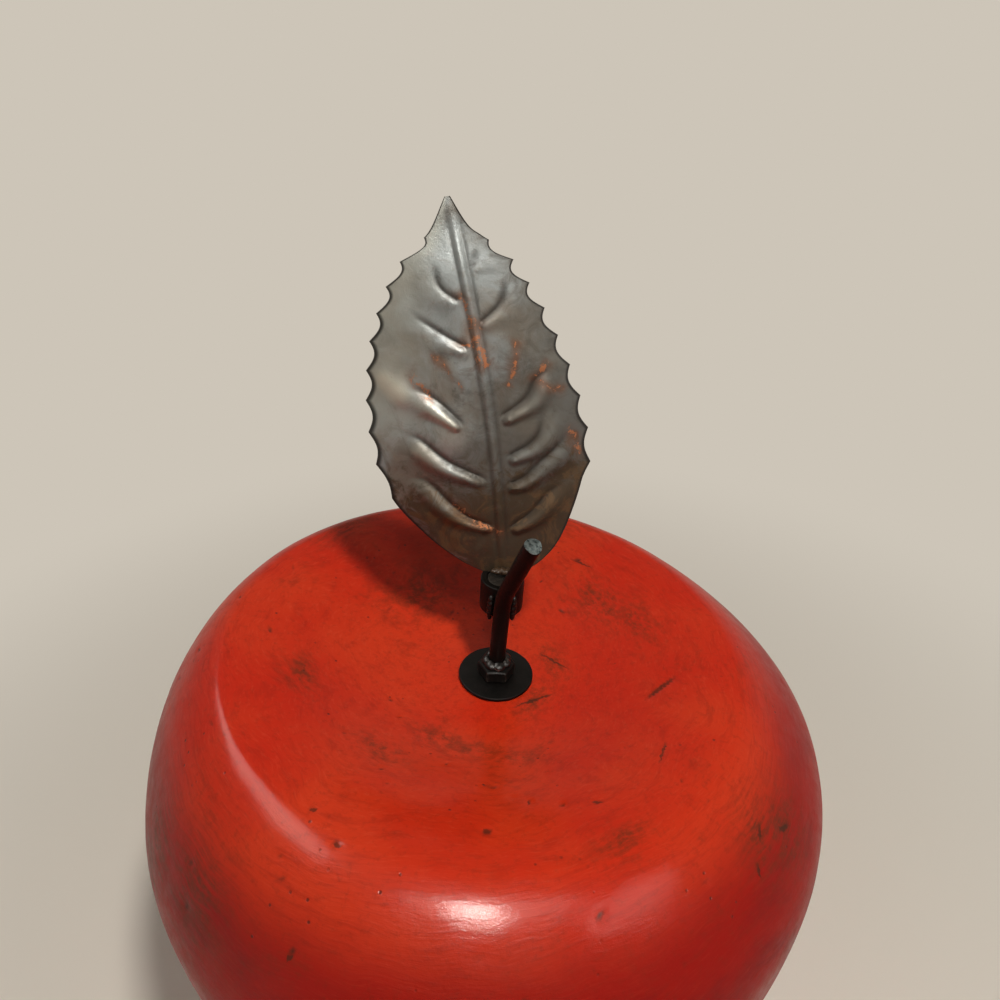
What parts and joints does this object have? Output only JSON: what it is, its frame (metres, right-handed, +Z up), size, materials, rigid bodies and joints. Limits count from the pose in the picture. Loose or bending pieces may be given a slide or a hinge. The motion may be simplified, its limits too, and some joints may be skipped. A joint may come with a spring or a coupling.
{
  "type": "wooden apple sculpture",
  "caption": "Carved, red-painted wooden apple with a screwed-in black steel stem and a serrated sheet-steel leaf that turns in a socket on the stem.",
  "frame": {"origin": "middle of the flat ring that the apple rests on", "axes": "+Z up, -Y towards the viewer's side of the leaf, +X to the viewer's right"},
  "size_m": [0.273, 0.273, 0.3847],
  "materials": {
    "painted_wood": "red paint over carved wood, antiqued and lacquered to a satin shine",
    "black_steel": "satin black paint",
    "weld_metal": "black paint worn to bright metal on the lumps",
    "leaf_steel": "dark gun-metal patina with rust and copper-coloured rubs"
  },
  "bodies": {
    "apple": {"apple_body": "painted_wood"},
    "washer_ring": {"washer": "black_steel"},
    "stem": {"coach_screw": "black_steel", "stem_rod": "black_steel", "stem_weld": "weld_metal", "leaf_socket": "black_steel", "socket_weld_left": "weld_metal", "socket_weld_right": "weld_metal"},
    "leaf": {"leaf_plug": "leaf_steel", "leaf_blade": "leaf_steel", "leaf_weld_front": "weld_metal", "leaf_weld_back": "weld_metal"}
  },
  "joints": [
    {"name": "stem_turn", "type": "hinge", "parent": "apple", "child": "washer_ring", "pos_m": [0.004, 0, 0.20478], "axis": [0.0552, 0, 0.9985], "range_deg": [0, 3600]},
    {"name": "stem_rise", "type": "slide", "parent": "washer_ring", "child": "stem", "axis": [0.0552, 0, 0.9985], "range_m": [0, 0.036]},
    {"name": "leaf_swivel", "type": "hinge", "parent": "stem", "child": "leaf", "pos_m": [0.00647, 0.01215, 0.23869], "axis": [0.0552, 0, 0.9985], "range_deg": [-70, 85]}
  ],
  "couplings": [
    {"joint": "stem_turn", "follows": "stem_rise", "rad_per_m": 1745.3}
  ]
}
